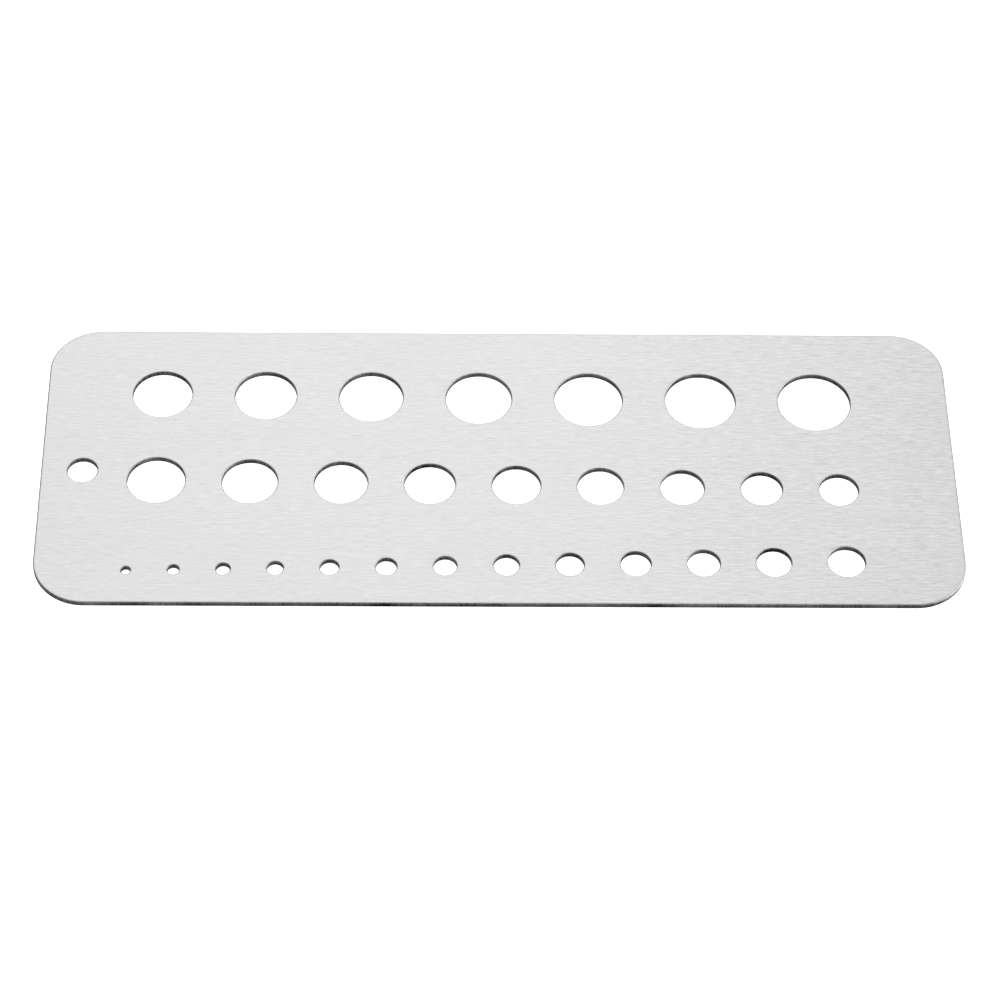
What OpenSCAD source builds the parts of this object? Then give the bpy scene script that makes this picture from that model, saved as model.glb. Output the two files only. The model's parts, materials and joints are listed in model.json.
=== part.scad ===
// Drill bit gauge: one flat plate of sheet steel with a round hole for each drill size and a hole to hang it by.
// The plate lies on z = 0. X runs along its length with the hanging hole at -X, and Y towards the largest holes.
// The sizes run in a snake: the front row left to right, the middle row back again, the far row left to right.

/* [Plate] */
// Length of the plate, end to end
plate_length = 158; // [150:0.5:240]
// Width of the plate, from the edge by the smallest holes to the edge by the largest
plate_width = 60.6; // [56:0.1:90]
// Thickness of the sheet
plate_thickness = 1; // [0.6:0.1:3]
// Radius of the four rounded corners
corner_radius = 9; // [2:0.5:14]
// Width of the bevel that breaks the outline's sharp edges, on both faces
edge_break = 0.15; // [0.05:0.05:0.25]

/* [Gauge holes] */
// Drill that fits the smallest hole, 1/16 inch
smallest_drill = 1.5875; // [1:0.0125:3]
// Step from each drill size to the next, 1/64 inch
drill_step = 0.396875; // [0.1:0.000125:0.5]
// Clearance all round a drill in its hole
drill_clearance = 0.02; // [0.01:0.005:0.05]
// Number of holes in the front row
front_row_holes = 13; // [11:1:15]
// Number of holes in the middle row
middle_row_holes = 9; // [7:1:10]
// Number of holes in the far row
far_row_holes = 7; // [5:1:8]
// Width of the bevel at the mouths of every hole
mouth_break = 0.1; // [0.02:0.02:0.2]

/* [Rows] */
// From the hanging end of the plate to the first hole of each row
row_start = 14.9; // [12:0.1:24]
// From the last hole of each row to the other end of the plate
row_end = 17.1; // [8:0.1:24]
// From the far edge to the line that the far row's holes hang from
far_row_margin = 9.5; // [5:0.1:12]
// From the front edge to the line that the middle row's holes stand on
middle_row_line = 21.5; // [19:0.1:24]
// From the front edge to the line that the front row's holes stand on
front_row_margin = 6; // [3:0.1:9]

/* [Hanging hole] */
// Diameter of the hanging hole
hanging_hole_diameter = 5.2; // [3:0.1:7]
// From the end of the plate to the middle of the hanging hole
hanging_hole_inset = 7.1; // [5:0.1:8]
// How far the hanging hole lies to the front of the plate's middle line
hanging_hole_offset = 1.7; // [0:0.1:5]

/* [Hidden] */
// Sides of a drawn circle
$fn = 96;
// How far a cutting shape runs past the face that it opens
past = 0.5;

// Where the rows begin and end along X
row_left = -plate_length / 2 + row_start;
row_right = plate_length / 2 - row_end;
// The line that each row keeps to along Y
far_line = plate_width / 2 - far_row_margin;
middle_line = -plate_width / 2 + middle_row_line;
front_line = -plate_width / 2 + front_row_margin;
// Holes are numbered from 0, the smallest, and each row is listed from left to right
middle_first = front_row_holes;
far_first = middle_first + middle_row_holes;
front_row = [for (n = [0 : middle_first - 1]) n];
middle_row = [for (n = [far_first - 1 : -1 : middle_first]) n];
far_row = [for (n = [far_first : far_first + far_row_holes - 1]) n];

// Diameter of the gauge hole with that number
function hole_diameter(number) = smallest_drill + number * drill_step + 2 * drill_clearance;

// Sum of the first count values
function sum_of(values, count) = count == 0 ? 0 : values[count - 1] + sum_of(values, count - 1);

// Half section of a round blank, bevelled on both faces
module blank_profile(radius) {
    polygon([
        [0, 0],
        [radius - edge_break, 0],
        [radius, edge_break],
        [radius, plate_thickness - edge_break],
        [radius - edge_break, plate_thickness],
        [0, plate_thickness]
    ]);
}

// Straight stretch of the plate along Y, as wide as given along X and bevelled on its two sides
module straight_stretch(width, length) {
    rotate([90, 0, 0])
        linear_extrude(length, center = true) {
            blank_profile(width / 2);
            mirror([1, 0])
                blank_profile(width / 2);
        }
}

// The plate before its holes: one stretch each way and a round blank at each corner
module plate_blank() {
    corner_x = plate_length / 2 - corner_radius;
    corner_y = plate_width / 2 - corner_radius;
    straight_stretch(plate_length, 2 * corner_y);
    rotate([0, 0, 90])
        straight_stretch(plate_width, 2 * corner_x);
    for (x = [-corner_x, corner_x], y = [-corner_y, corner_y])
        translate([x, y, 0])
            rotate_extrude()
                blank_profile(corner_radius);
}

// What a round hole takes away, with a small bevel at both of its mouths
module hole_cut(diameter) {
    radius = diameter / 2;
    rotate_extrude()
        polygon([
            [0, -past],
            [radius + mouth_break + past, -past],
            [radius, mouth_break],
            [radius, plate_thickness - mouth_break],
            [radius + mouth_break + past, plate_thickness + past],
            [0, plate_thickness + past]
        ]);
}

// A row of gauge holes with equal gaps. Each touches the line, from above if side is 1 or from below if it is -1
module hole_row(numbers, line, side) {
    sizes = [for (number = numbers) hole_diameter(number)];
    count = len(sizes);
    gap = (row_right - row_left - sum_of(sizes, count)) / (count - 1);
    for (i = [0 : count - 1])
        translate([
            row_left + sum_of(sizes, i) + i * gap + sizes[i] / 2,
            line + side * sizes[i] / 2,
            0
        ])
            hole_cut(sizes[i]);
}

// The hole that the gauge hangs by
module hanging_hole() {
    translate([-plate_length / 2 + hanging_hole_inset, -hanging_hole_offset, 0])
        hole_cut(hanging_hole_diameter);
}

// The whole gauge, one piece of bare steel
module gauge_plate() {
    color([0.84, 0.84, 0.85])
        difference() {
            plate_blank();
            hole_row(front_row, front_line, 1);
            hole_row(middle_row, middle_line, 1);
            hole_row(far_row, far_line, -1);
            hanging_hole();
        }
}

gauge_plate();
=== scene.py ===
"""Looks of a drill bit gauge: a brushed steel plate with softly rolled edges, on a pale floor."""

import json
import math

import bpy
import numpy as np
from bpy.props import FloatProperty, FloatVectorProperty, IntProperty, PointerProperty
from mathutils import Matrix, Vector
from mathutils.geometry import delaunay_2d_cdt


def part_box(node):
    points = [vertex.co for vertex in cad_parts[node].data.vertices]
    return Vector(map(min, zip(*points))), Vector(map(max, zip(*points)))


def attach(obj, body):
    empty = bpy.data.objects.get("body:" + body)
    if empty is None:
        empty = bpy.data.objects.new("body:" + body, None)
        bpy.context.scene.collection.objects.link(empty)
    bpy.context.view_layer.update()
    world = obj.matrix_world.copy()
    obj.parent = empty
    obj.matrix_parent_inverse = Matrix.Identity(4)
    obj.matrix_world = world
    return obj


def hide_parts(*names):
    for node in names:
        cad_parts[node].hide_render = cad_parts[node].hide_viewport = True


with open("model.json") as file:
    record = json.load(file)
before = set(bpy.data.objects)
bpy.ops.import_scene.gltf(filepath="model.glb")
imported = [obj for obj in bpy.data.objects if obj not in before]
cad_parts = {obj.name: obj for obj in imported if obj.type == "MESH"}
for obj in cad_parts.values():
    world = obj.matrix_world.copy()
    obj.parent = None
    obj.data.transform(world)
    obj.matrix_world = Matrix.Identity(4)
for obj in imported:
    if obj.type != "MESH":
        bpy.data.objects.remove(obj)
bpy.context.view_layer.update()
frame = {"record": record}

bl_info = {
    "name": "Drill bit gauge",
    "version": (1, 0, 0),
    "blender": (4, 5, 0),
    "location": "View3D > Sidebar > Gauge",
    "description": "Makes a drill bit gauge of brushed steel and the stage that it lies on",
    "category": "Add Mesh",
}

MM = 0.001  # a millimetre in metres
CAD_NODE = "gauge_plate"  # the node whose place the brushed plate takes

# How the flat faces are filled with triangles
COLLARS = 2  # width of the flat collar of a rim, in widths of the widest roll
OPEN_HOLES = 2  # the kind of Delaunay triangulation that leaves holes open
MERGE_DISTANCE = 1e-6  # points nearer than this are one point, in millimetres

# How the brushed face gives way to cut wall over a rim: powers of the sine and cosine of its turn.
# The low upper power darkens the rolled rims early, as painted shade.
UPPER_FADE_AND_SHADE = 1.2
LOWER_FADE = 2

# Lumps of the steel's patterns, along X, Y and Z
THROUGH = 1.0  # so tall that a pattern stays the same through the plate
CLOUD_CELL = (30 * MM, 12 * MM, THROUGH)
SPECK_CELL = (0.35 * MM, 0.25 * MM, THROUGH)
STRIATION_CELL = (0.35 * MM, 0.35 * MM, 1.2 * MM)
PATCH_CELL = (5 * MM, 5 * MM, 5 * MM)
TEAR_CELL = (0.5 * MM, 0.5 * MM, 4 * MM)

# Tone of the brushed faces, where 1 is the face colour
LONG_STROKES = 0.15  # how strong the long strokes are beside the short ones
COARSER = 0.6  # how much stronger all strokes are at the right-hand end
COARSER_PLACES = (-10 * MM, 75 * MM)  # between these places along X they grow stronger
CLOUDS = 0.04  # how far the clouds swing the tone
SPECKS = 0.15  # how much darker a speck is
SPECK_LEVELS = (0.8, 0.86)  # noise between these fades into a speck

# Tone of the cut walls, where 1 is the cut colour: sheared steel darkened further as painted shade
WALL_TONE = 0.9
LEAST_WALL_TONE = 0.08
STRIATIONS = 3.2  # how far the striations swing the tone
PATCHES = 3.0  # how far the patches swing it
BURNISHED = 0.25  # how much lighter the burnished band is
BURNISHED_HEIGHTS = (0.55, 0.7)  # where the band begins, as shares of the thickness
TEARS = 0.3  # how far its lower border wanders, as a share of the thickness

# Roughness and relief
STROKE_ROUGHNESS = 0.12  # how far the strokes swing the roughness of the faces
STRIATION_ROUGHNESS = 0.3  # how far the striations swing that of the walls
BURNISHED_SMOOTHNESS = 0.12  # how much less rough the burnished band is
STRIATION_DEPTH = 4.0  # in depths of the brush strokes

# The stage, in metres
MOTTLE_CELL = (0.2, 0.2, THROUGH)
MOTTLING = 0.01
FLOOR_HALF = 3.0
FLOOR_HEIGHT = -0.02 * MM  # just under the plate, so that the two never share a plane
BACK_SOFTBOX = {"place": (-0.05, 0.8, 0.95), "size": 0.8}
SIDE_SOFTBOX = {"place": (1.1, 0.0, 0.28), "size": 0.4}

# The camera
PHOTO_SIZE = 1000  # width and height of the photograph in pixels
SENSOR_WIDTH = 36.0  # millimetres, Blender's own
NEAREST_SEEN = 0.01


class PlateShape(bpy.types.PropertyGroup):
    """Sizes of the plate that the frame doesn't give, and how finely it is drawn."""

    corner_radius: FloatProperty(
        name="Corner radius",
        description="Radius of the plate's four corners",
        default=9 * MM, min=1 * MM, unit="LENGTH", precision=4)
    edge_roll: FloatProperty(
        name="Edge roll",
        description="Width of the softly rolled edge round the outline, upper face",
        default=0.25 * MM, min=0.02 * MM, unit="LENGTH", precision=5)
    edge_drop: FloatProperty(
        name="Edge drop",
        description="How far the outline's rolled edge drops below the upper face",
        default=0.17 * MM, min=0.02 * MM, unit="LENGTH", precision=5)
    mouth_roll: FloatProperty(
        name="Mouth roll",
        description="Width of the rolled edge round each hole, upper face",
        default=0.2 * MM, min=0.02 * MM, unit="LENGTH", precision=5)
    mouth_drop: FloatProperty(
        name="Mouth drop",
        description="How far each hole's rolled edge drops below the upper face",
        default=0.14 * MM, min=0.02 * MM, unit="LENGTH", precision=5)
    lower_break: FloatProperty(
        name="Lower break",
        description="Radius of the small break on every edge of the underside",
        default=0.1 * MM, min=0.02 * MM, unit="LENGTH", precision=5)
    outline_spacing: FloatProperty(
        name="Outline spacing",
        description="Distance between points along the outline",
        default=0.6 * MM, min=0.1 * MM, unit="LENGTH", precision=5)
    hole_points: IntProperty(
        name="Hole points",
        description="Points round each hole",
        default=120, min=24)
    roll_steps: IntProperty(
        name="Roll steps",
        description="Faces across a rolled edge",
        default=6, min=2)
    wall_steps: IntProperty(
        name="Wall steps",
        description="Faces down a cut wall",
        default=4, min=1)
    field_spacing: FloatProperty(
        name="Field spacing",
        description="Distance between points inside the flat faces",
        default=2.5 * MM, min=1 * MM, unit="LENGTH", precision=4)


class SteelFinish(bpy.types.PropertyGroup):
    """Colours and grain of the steel."""

    face_colour: FloatVectorProperty(
        name="Face",
        description="Colour of the brushed faces",
        default=(0.70, 0.70, 0.705), subtype="COLOR", min=0, max=1)
    # Partly the sheared steel's own colour and partly painted shade: the walls are darkened to
    # stand for the shade in the holes and along the edge
    cut_and_shade_colour: FloatVectorProperty(
        name="Cut",
        description="Colour of the sheared walls, at the edge and in the holes",
        default=(0.165, 0.165, 0.17), subtype="COLOR", min=0, max=1)
    face_roughness: FloatProperty(
        name="Face roughness",
        description="Roughness of the brushed faces",
        default=0.42, min=0, max=1, subtype="FACTOR")
    cut_roughness: FloatProperty(
        name="Cut roughness",
        description="Roughness of the sheared walls",
        default=0.8, min=0, max=1, subtype="FACTOR")
    grain_length: FloatProperty(
        name="Grain length",
        description="Length of the brush strokes, along the plate",
        default=2.6 * MM, min=0.1 * MM, unit="LENGTH", precision=4)
    grain_width: FloatProperty(
        name="Grain width",
        description="Width of the brush strokes",
        default=0.3 * MM, min=0.02 * MM, unit="LENGTH", precision=5)
    grain_contrast: FloatProperty(
        name="Grain contrast",
        description="How much lighter or darker the strokes are",
        default=0.62, min=0, max=1, subtype="FACTOR")
    grain_depth: FloatProperty(
        name="Grain depth",
        description="Depth of the brush strokes",
        default=0.0015 * MM, min=0, unit="LENGTH", precision=7)


class StageSetup(bpy.types.PropertyGroup):
    """Floor, light and camera."""

    floor_colour: FloatVectorProperty(
        name="Floor",
        description="Colour of the floor",
        default=(0.9, 0.9, 0.9), subtype="COLOR", min=0, max=1)
    floor_glow: FloatProperty(
        name="Floor glow",
        description="Light that the floor gives off, like a light table",
        default=1.0, min=0)
    sky_strength: FloatProperty(
        name="Sky",
        description="Strength of the even light from all round",
        default=0.5, min=0)
    key_power: FloatProperty(
        name="Back softbox",
        description="Power of the large softbox above and behind the plate",
        default=2.1, min=0, unit="POWER")
    side_power: FloatProperty(
        name="Side softbox",
        description="Power of the softbox low at the right",
        default=16.0, min=0, unit="POWER")
    camera_distance: FloatProperty(
        name="Camera distance",
        description="From the point that the camera looks at",
        default=0.601691, min=0.1, unit="LENGTH", precision=4)
    camera_elevation: FloatProperty(
        name="Elevation",
        description="Camera's height above the plate, as an angle",
        default=math.radians(51.0355), unit="ROTATION")
    camera_pan: FloatProperty(
        name="Pan",
        description="How far the camera stands round to the left, as a negative angle",
        default=math.radians(-2.1152), unit="ROTATION")
    camera_roll: FloatProperty(
        name="Roll",
        description="Tilt of the camera about its own line of sight",
        default=math.radians(1.8835), unit="ROTATION")
    camera_aim: FloatVectorProperty(
        name="Aim",
        description="Point on the upper face that the camera looks at",
        default=(-0.01 * MM, -7.971 * MM), size=2, unit="LENGTH", precision=5)
    focal_pixels: FloatProperty(
        name="Focal length",
        description="Focal length in pixels of the photograph",
        default=3505.6, min=100)


class Signal:
    """A shader socket that takes part in Python expressions. Each operation adds one Math node."""

    def __init__(self, shader, socket):
        self.shader = shader
        self.socket = socket

    def math(self, operation, other):
        """One Math node on this signal and the other value."""
        return self.shader.node("ShaderNodeMath", {"operation": operation}, self, other)

    def reflected(self, operation, other):
        """One Math node on the other value and this signal, for when their order counts."""
        return self.shader.node("ShaderNodeMath", {"operation": operation}, other, self)

    def __add__(self, other):
        return self.math("ADD", other)

    __radd__ = __add__

    def __sub__(self, other):
        return self.math("SUBTRACT", other)

    def __rsub__(self, other):
        return self.reflected("SUBTRACT", other)

    def __mul__(self, other):
        return self.math("MULTIPLY", other)

    __rmul__ = __mul__

    def __truediv__(self, other):
        return self.math("DIVIDE", other)

    def __rtruediv__(self, other):
        return self.reflected("DIVIDE", other)

    def step(self, low, high):
        """Rises smoothly from 0 where the signal is low to 1 where it is high."""
        return self.shader.node(
            "ShaderNodeMapRange", {"interpolation_type": "SMOOTHSTEP"}, self, low, high)

    def swing(self, amount):
        """Turns noise from 0 to 1 into a change about 0: (noise - 1/2) * amount."""
        return (self - 0.5) * amount


def by_identifier(sockets):
    """A node's sockets by identifier, which is its own where names repeat, with _ for a space."""
    return {socket.identifier.replace(" ", "_"): socket for socket in sockets}


class Shader:
    """A material's node tree, filled in by Python expressions."""

    def __init__(self, name):
        self.material = bpy.data.materials.new(name)
        self.material.use_nodes = True
        self.tree = self.material.node_tree
        self.tree.nodes.clear()
        self.place = self.node("ShaderNodeTexCoord", out="Object")

    def node(self, kind, settings=None, *values, out=None, **named):
        """Adds a node: its settings first, then its inputs, in order or by identifier.

        Returns the output with the identifier out, or else the first one, as a Signal.
        """
        made = self.tree.nodes.new(kind)
        for key, value in (settings or {}).items():
            setattr(made, key, value)
        inputs, outputs = by_identifier(made.inputs), by_identifier(made.outputs)
        for key, value in [*zip(inputs, values), *named.items()]:
            if isinstance(value, Signal):
                self.tree.links.new(value.socket, inputs[key])
            else:
                inputs[key].default_value = value
        return Signal(self, outputs[out] if out else next(iter(made.outputs), None))

    def along(self, axis):
        """How far a point lies along the object's own X, Y or Z."""
        return self.node("ShaderNodeSeparateXYZ", None, self.place, out=axis)

    def noise(self, cell, detail=2.0, roughness=0.5, shift=0.0):
        """Cloudy noise from 0 to 1, with lumps of about the cell's size.

        It is read at place / cell + shift, and each pattern has its own shift so that no two match.
        """
        shares = [1 / size for size in cell]
        scaled = self.node("ShaderNodeVectorMath", {"operation": "MULTIPLY"}, self.place, shares)
        moved = self.node("ShaderNodeVectorMath", {"operation": "ADD"}, scaled, [shift] * 3)
        return self.node(
            "ShaderNodeTexNoise", None, Vector=moved, Scale=1.0, Detail=detail, Roughness=roughness)

    def toned(self, colour, tone):
        """A colour times a tone."""
        return self.node("ShaderNodeVectorMath", {"operation": "SCALE"}, list(colour), Scale=tone)

    def mix(self, factor, first, second):
        """The first colour where the factor is 0 and the second where it is 1."""
        return self.node(
            "ShaderNodeMix", {"data_type": "RGBA"},
            Factor_Float=factor, A_Color=first, B_Color=second, out="Result_Color")

    def finish(self, surface):
        """Joins the surface shader to the output and returns the material."""
        self.node("ShaderNodeOutputMaterial", None, surface)
        return self.material


def steel_material(finish, thickness):
    """Brushed steel on the faces and darker, sheared steel on the cut walls, darkened further as
    painted shade.

    The mesh's attribute cut says which, from 0 on the faces to 1 on the walls; its early rise over
    the rolled rims paints shade there. The faces have strokes along the plate, faint clouds and a
    few dark specks. The walls have upright striations, broad patches, and above a ragged line a
    lighter, smoother band where the punch burnished them.
    """
    steel = Shader("brushed_plate")
    cut = steel.node("ShaderNodeAttribute", {"attribute_name": "cut"}, out="Fac")
    uncut = 1.0 - cut
    length, width = finish.grain_length, finish.grain_width

    strokes = steel.noise((length, width, THROUGH), detail=3.0, roughness=0.85)
    long_strokes = steel.noise((4 * length, 1.5 * width, THROUGH), shift=7.3)
    coarser = 1.0 + steel.along("X").step(*COARSER_PLACES) * COARSER
    clouds = steel.noise(CLOUD_CELL, shift=3.1)
    specks = steel.noise(SPECK_CELL, detail=0.0, shift=11.9).step(*SPECK_LEVELS)
    grain = (strokes - 0.5) + long_strokes.swing(LONG_STROKES)
    tone = 1.0 + grain * coarser * finish.grain_contrast
    tone = tone * (1.0 + clouds.swing(CLOUDS) - specks * SPECKS)

    striations = steel.noise(STRIATION_CELL, detail=3.0, roughness=0.6, shift=1.7)
    patches = steel.noise(PATCH_CELL, detail=1.0, shift=9.4)
    ragged = steel.along("Z") / thickness + steel.noise(TEAR_CELL, shift=5.5).swing(TEARS)
    burnished = ragged.step(*BURNISHED_HEIGHTS)
    wall_tone = WALL_TONE + striations.swing(STRIATIONS) + patches.swing(PATCHES)
    wall_tone = (wall_tone + burnished * BURNISHED).math("MAXIMUM", LEAST_WALL_TONE)

    # The walls take the cut colour, which is darkened as painted shade for the holes and the edge
    colour = steel.mix(
        cut, steel.toned(finish.face_colour, tone), steel.toned(finish.cut_and_shade_colour, wall_tone))
    face_rough = finish.face_roughness + strokes.swing(STROKE_ROUGHNESS)
    wall_rough = finish.cut_roughness + striations.swing(STRIATION_ROUGHNESS)
    wall_rough = wall_rough - burnished * BURNISHED_SMOOTHNESS
    rough = face_rough * uncut + wall_rough * cut
    relief = strokes * uncut + striations * (STRIATION_DEPTH * cut)
    bump = steel.node(
        "ShaderNodeBump", None, Strength=1.0, Distance=finish.grain_depth, Height=relief)
    return steel.finish(steel.node(
        "ShaderNodeBsdfPrincipled", None,
        Base_Color=colour, Metallic=1.0, Roughness=rough, Normal=bump))


def floor_material(setup):
    """Matt, nearly white paper with the faintest mottling, lit from within."""
    paper = Shader("pale_floor")
    tone = 1.0 + paper.noise(MOTTLE_CELL).swing(MOTTLING)
    return paper.finish(paper.node(
        "ShaderNodeBsdfPrincipled", None,
        Base_Color=paper.toned(setup.floor_colour, tone), Roughness=0.9, Specular_IOR_Level=0.1,
        Emission_Color=(1.0, 1.0, 1.0, 1.0), Emission_Strength=setup.floor_glow))


def rolled_section(roll, drop, thickness, inset, shape):
    """Section of a rim, from the upper face over its roll and down the wall to the underside.

    The roll is a quarter of an ellipse that leaves the face level and meets the wall upright, and
    the lower break is a quarter circle. Returns each point's distance in from the wall, its height,
    and how much of it takes the cut walls' colour, from 0 on the faces to 1 on the wall: on the
    upper roll this darkening is painted shade.
    """
    lower = shape.lower_break
    turn = np.linspace(0.0, math.pi / 2, shape.roll_steps + 1)
    sine, cosine = np.sin(turn), np.cos(turn)
    down = np.linspace(thickness - drop, lower, shape.wall_steps + 1)[1:-1]
    inwards = np.concatenate([
        [inset], roll * (1 - sine), np.zeros_like(down), lower * (1 - cosine), [inset]])
    heights = np.concatenate([
        [thickness], thickness - drop * (1 - cosine), down, lower * (1 - sine), [0.0]])
    cut_and_shade_shares = np.concatenate([
        # Over the upper roll the share rises early, which paints shade along the rims
        [0.0], sine ** UPPER_FADE_AND_SHADE, np.ones_like(down), cosine ** LOWER_FADE, [0.0]])
    return inwards, heights, cut_and_shade_shares


def rounded_outline(length, width, radius, spacing):
    """Points round a rounded rectangle, anticlockwise, and the direction outwards at each.

    Every point is a corner's centre plus the radius times a unit direction. The direction turns a
    quarter circle at each corner and stays still along each side, where the centre moves on.
    """
    corner = np.array([length / 2 - radius, width / 2 - radius])
    signs = np.array([[1, 1], [-1, 1], [-1, -1], [1, -1]])
    points, outwards = [], []
    for quarter in range(4):
        start = quarter * math.pi / 2
        arc = int(math.ceil(radius * math.pi / 2 / spacing))
        angles = start + np.linspace(0.0, math.pi / 2, arc, endpoint=False)
        here, following = signs[quarter] * corner, signs[(quarter + 1) % 4] * corner
        side = int(math.ceil(np.linalg.norm(following - here) / spacing))
        share = np.linspace(0.0, 1.0, side, endpoint=False)[:, None]
        angles = np.concatenate([angles, np.full(side, start + math.pi / 2)])
        centres = np.concatenate([np.repeat(here[None], arc, 0), here + share * (following - here)])
        direction = np.stack([np.cos(angles), np.sin(angles)], 1)
        points.append(centres + radius * direction)
        outwards.append(direction)
    return np.concatenate(points), np.concatenate(outwards)


def hole_ring(centre, radius, count):
    """Points round a hole, clockwise so that the steel stays on the left, and the way out of it.

    Each point is the centre plus the radius times a unit direction, and its way out of the steel
    is back towards the centre.
    """
    angles = -np.arange(count) * 2 * math.pi / count
    direction = np.stack([np.cos(angles), np.sin(angles)], 1)
    return centre + radius * direction, -direction


def field_points(length, width, radius, holes, clear, spacing):
    """A triangular grid of points in the flat face, each clear of the outline and the holes.

    The distance to the outline is that of a rounded rectangle: the corner radius less how far the
    point lies outside the inner rectangle between the corners' centres.
    """
    columns = np.arange(-length / 2, length / 2, spacing)
    rows = np.arange(-width / 2, width / 2, spacing * math.sqrt(3) / 2)
    x, y = np.meshgrid(columns, rows)
    x = x + (np.arange(len(rows)) % 2)[:, None] * spacing / 2
    grid = np.stack([x.ravel(), y.ravel()], 1)
    beyond = np.abs(grid) - np.array([length / 2 - radius, width / 2 - radius])
    to_edge = radius - np.linalg.norm(np.maximum(beyond, 0), axis=1) - np.minimum(beyond.max(1), 0)
    keep = to_edge > clear
    for centre, hole_radius in holes:
        keep &= np.linalg.norm(grid - centre, axis=1) > hole_radius + clear
    return grid[keep]


def carried_rim(section, loop, start):
    """A rim: its section carried round its loop, with vertices numbered from start.

    vertex = loop's point - section's distance inwards * direction outwards, at the section's
    height. Returns the vertices, the faces between rings, and each ring's vertex numbers.
    """
    inwards, heights, _ = section
    points, outwards = loop
    rim = np.empty((len(inwards), len(points), 3))
    rim[..., :2] = points - inwards[:, None, None] * outwards
    rim[..., 2] = heights[:, None]
    rings = start + np.arange(len(inwards) * len(points)).reshape(len(inwards), len(points))
    turned = np.roll(rings, -1, axis=1)
    quads = np.stack([rings[:-1], rings[1:], turned[1:], turned[:-1]], -1)
    return rim.reshape(-1, 3), quads.reshape(-1, 4), rings


def flat_triangles(rings, field):
    """Delaunay triangles between the outline's ring and the holes' rings, through the field.

    The rings and the field are points in the plane. A triangle's numbers count through the rings
    one after another, and then through the field.
    """
    ends = np.cumsum([len(ring) for ring in rings])
    borders = [list(range(end - len(ring), end)) for ring, end in zip(rings, ends)]
    points = [Vector(point) for point in (np.concatenate([*rings, field]) / MM).tolist()]
    found = delaunay_2d_cdt(points, [], borders, OPEN_HOLES, MERGE_DISTANCE)
    triangles, sources = found[2], found[3]
    return np.array([source[0] for source in sources])[np.array(triangles)]


def build_plate(shape, low, high, holes):
    """The plate as one closed mesh: a rim round the outline and each hole, and two flat faces.

    The upper face lies between the rims' first rings and the lower face between their last ones.
    """
    length, width, thickness = high - low
    inset = COLLARS * max(shape.edge_roll, shape.mouth_roll)
    edge = rolled_section(shape.edge_roll, shape.edge_drop, thickness, inset, shape)
    mouth = rolled_section(shape.mouth_roll, shape.mouth_drop, thickness, inset, shape)
    outline = rounded_outline(length, width, shape.corner_radius, shape.outline_spacing)
    rims = [(edge, outline)]
    rims += [(mouth, hole_ring(centre, radius, shape.hole_points)) for centre, radius in holes]

    places, cut_and_shade_shares, quads, upper, lower, upper_rings = [], [], [], [], [], []
    start = 0
    for section, loop in rims:
        vertices, faces, rings = carried_rim(section, loop, start)
        places.append(vertices)
        cut_and_shade_shares.append(np.repeat(section[2], rings.shape[1]))
        quads.append(faces)
        upper.append(rings[0])
        lower.append(rings[-1])
        upper_rings.append(vertices[:rings.shape[1], :2])
        start += len(vertices)

    # The field keeps two collars and half a step away from every wall
    clear = 2 * inset + shape.field_spacing / 2
    field = field_points(length, width, shape.corner_radius, holes, clear, shape.field_spacing)
    triangles = flat_triangles(upper_rings, field)
    upper_field = start + np.arange(len(field))
    upper_face = np.concatenate([*upper, upper_field])[triangles]
    lower_face = np.concatenate([*lower, upper_field + len(field)])[triangles[:, ::-1]]

    level = np.zeros((len(field), 1))
    places += [np.hstack([field, level + thickness]), np.hstack([field, level])]
    vertices = np.concatenate(places)
    vertices += [(low[0] + high[0]) / 2, (low[1] + high[1]) / 2, low[2]]
    cut_and_shade_shares.append(np.zeros(2 * len(field)))

    mesh = bpy.data.meshes.new("brushed_plate")
    mesh.from_pydata(
        vertices, [], np.concatenate(quads).tolist() + upper_face.tolist() + lower_face.tolist())
    # The attribute cut marks the walls, and over the rolled rims it also carries painted shade
    attribute = mesh.attributes.new("cut", "FLOAT", "POINT")
    attribute.data.foreach_set("value", np.concatenate(cut_and_shade_shares).astype(np.float32))
    mesh.polygons.foreach_set("use_smooth", np.ones(len(mesh.polygons), bool))
    mesh.update()
    return mesh


def bore_places(record):
    """Centre and radius of every hole through the plate, in metres, from the record's mounts."""
    bores = [mount for mount in record["mounts"] if mount["kind"] == "bore"]
    return [(np.array(bore["pos_m"][:2]), bore["dims"]["r_mm"] * MM) for bore in bores]


def add_object(name, data):
    """A new object in the scene, at the origin."""
    made = bpy.data.objects.new(name, data)
    bpy.context.scene.collection.objects.link(made)
    return made


def softbox(name, place, size, power):
    """A square area light at a place, turned towards the middle of the plate."""
    light = bpy.data.lights.new(name, "AREA")
    light.shape = "SQUARE"
    light.size = size
    light.energy = power
    turn = Vector(place).to_track_quat("Z", "Y").to_matrix().to_4x4()
    add_object(name, light).matrix_world = Matrix.Translation(place) @ turn


class GAUGE_OT_plate(bpy.types.Operator):
    """Builds the steel plate with its 29 gauge holes and its hanging hole"""

    bl_idname = "gauge.plate"
    bl_label = "Build the plate"

    def execute(self, context):
        shape, finish = context.scene.gauge_shape, context.scene.gauge_finish
        low, high = (np.array(corner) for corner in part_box(CAD_NODE))
        mesh = build_plate(shape, low, high, bore_places(frame["record"]))
        if not len(mesh.polygons):
            raise RuntimeError("the plate has no faces")
        mesh.materials.append(steel_material(finish, high[2] - low[2]))
        plate = add_object("brushed_plate", mesh)
        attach(plate, "root")
        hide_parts(CAD_NODE)
        return {"FINISHED"}


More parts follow.
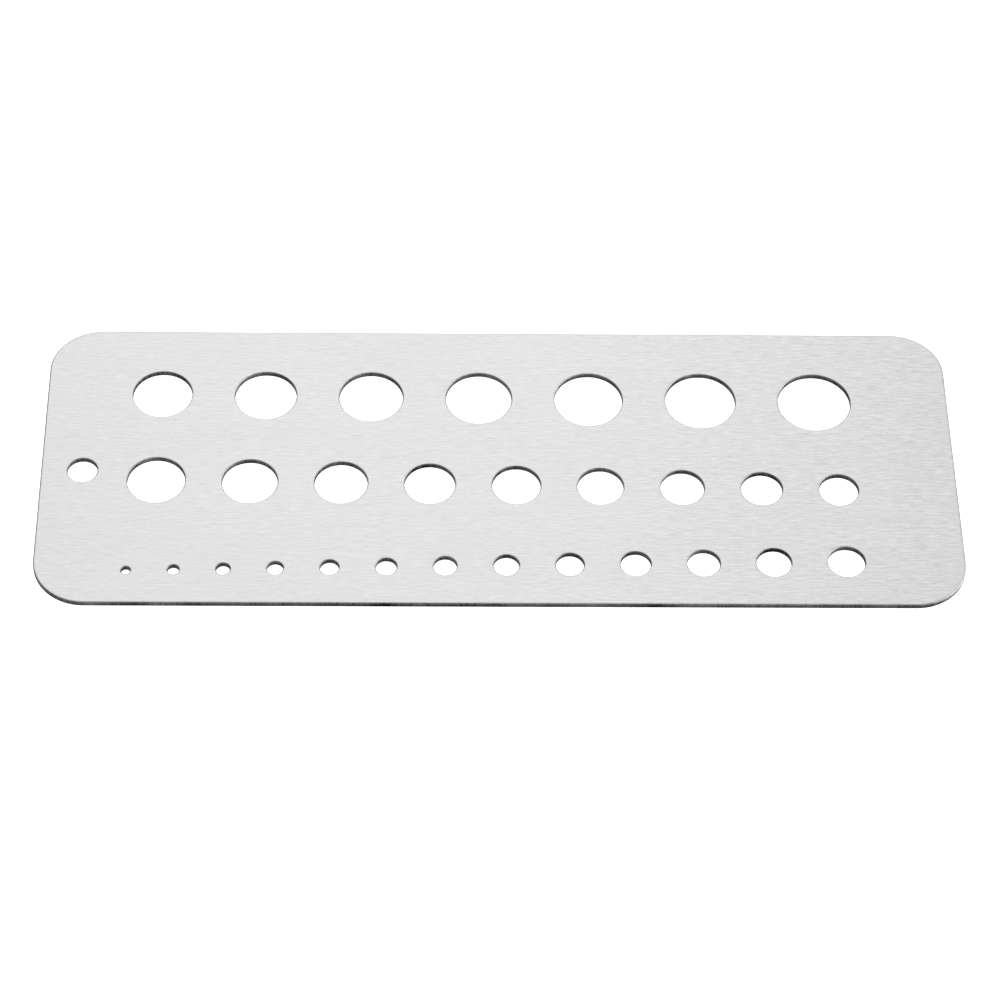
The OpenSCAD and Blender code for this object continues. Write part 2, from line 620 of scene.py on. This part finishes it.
class GAUGE_OT_stage(bpy.types.Operator):
    """Lays the floor, sets the lights and places the camera as the photograph has it"""

    bl_idname = "gauge.stage"
    bl_label = "Set the stage"

    def execute(self, context):
        setup = context.scene.gauge_stage
        self.lay_floor(setup)
        self.light(context.scene, setup)
        self.place_camera(context.scene, setup)
        return {"FINISHED"}

    def lay_floor(self, setup):
        """A large square, just under the plate.

        It gives off its own light, so it is kept out of the steel's reflections and bounced light.
        """
        corners = np.array([[-1, -1], [1, -1], [1, 1], [-1, 1]]) * FLOOR_HALF
        mesh = bpy.data.meshes.new("floor")
        mesh.from_pydata(np.hstack([corners, np.full((4, 1), FLOOR_HEIGHT)]), [], [(0, 1, 2, 3)])
        mesh.materials.append(floor_material(setup))
        floor = add_object("floor", mesh)
        floor.visible_diffuse = floor.visible_glossy = False

    def light(self, scene, setup):
        """Even light from all round, a large softbox above and behind, and a small one at right."""
        world = bpy.data.worlds.new("studio")
        world.use_nodes = True
        background = world.node_tree.nodes["Background"]
        background.inputs["Color"].default_value = (1.0, 1.0, 1.0, 1.0)
        background.inputs["Strength"].default_value = setup.sky_strength
        scene.world = world
        softbox("back_softbox", **BACK_SOFTBOX, power=setup.key_power)
        softbox("side_softbox", **SIDE_SOFTBOX, power=setup.side_power)

    def place_camera(self, scene, setup):
        """Looks at the aim from the given distance, pan and elevation, rolled about that line.

        The way back to the camera is (sin pan * cos elevation, -cos pan * cos elevation,
        sin elevation).
        """
        pan, rise, roll = setup.camera_pan, setup.camera_elevation, setup.camera_roll
        back = Vector((
            math.sin(pan) * math.cos(rise), -math.cos(pan) * math.cos(rise), math.sin(rise)))
        right = Vector((math.cos(pan), math.sin(pan), 0.0))
        turn = Matrix.Rotation(roll, 3, back)
        right, up = turn @ right, turn @ back.cross(right)
        upper_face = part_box(CAD_NODE)[1].z
        place = Vector((*setup.camera_aim, upper_face)) + back * setup.camera_distance
        lens = bpy.data.cameras.new("camera")
        lens.sensor_width = SENSOR_WIDTH
        lens.lens = setup.focal_pixels / PHOTO_SIZE * SENSOR_WIDTH
        lens.clip_start = NEAREST_SEEN
        camera = add_object("camera", lens)
        axes = Matrix((right, up, back)).transposed()
        camera.matrix_world = Matrix.Translation(place) @ axes.to_4x4()
        scene.camera = camera
        scene.view_settings.view_transform = "Standard"


class GAUGE_PT_panel(bpy.types.Panel):
    """Lists the gauge's sizes, finish and stage, with the operators that build them"""

    bl_idname = "GAUGE_PT_panel"
    bl_label = "Drill bit gauge"
    bl_space_type = "VIEW_3D"
    bl_region_type = "UI"
    bl_category = "Gauge"

    def draw(self, context):
        scene = context.scene
        for groups, operator in (
            ((scene.gauge_shape, scene.gauge_finish), GAUGE_OT_plate),
            ((scene.gauge_stage,), GAUGE_OT_stage),
        ):
            box = self.layout.box()
            for group in groups:
                for name in group.__annotations__:
                    box.prop(group, name)
            box.operator(operator.bl_idname)


CLASSES = (PlateShape, SteelFinish, StageSetup, GAUGE_OT_plate, GAUGE_OT_stage, GAUGE_PT_panel)
GROUPS = {"gauge_shape": PlateShape, "gauge_finish": SteelFinish, "gauge_stage": StageSetup}


def register():
    """Registers the classes and gives every scene its sizes, finish and stage."""
    for cls in CLASSES:
        bpy.utils.register_class(cls)
    for name, group in GROUPS.items():
        setattr(bpy.types.Scene, name, PointerProperty(type=group))


def unregister():
    """Takes away what register added, in reverse."""
    for name in reversed(GROUPS):
        delattr(bpy.types.Scene, name)
    for cls in reversed(CLASSES):
        bpy.utils.unregister_class(cls)


def main():
    register()
    bpy.ops.gauge.plate()
    bpy.ops.gauge.stage()


if __name__ == "__main__":
    main()
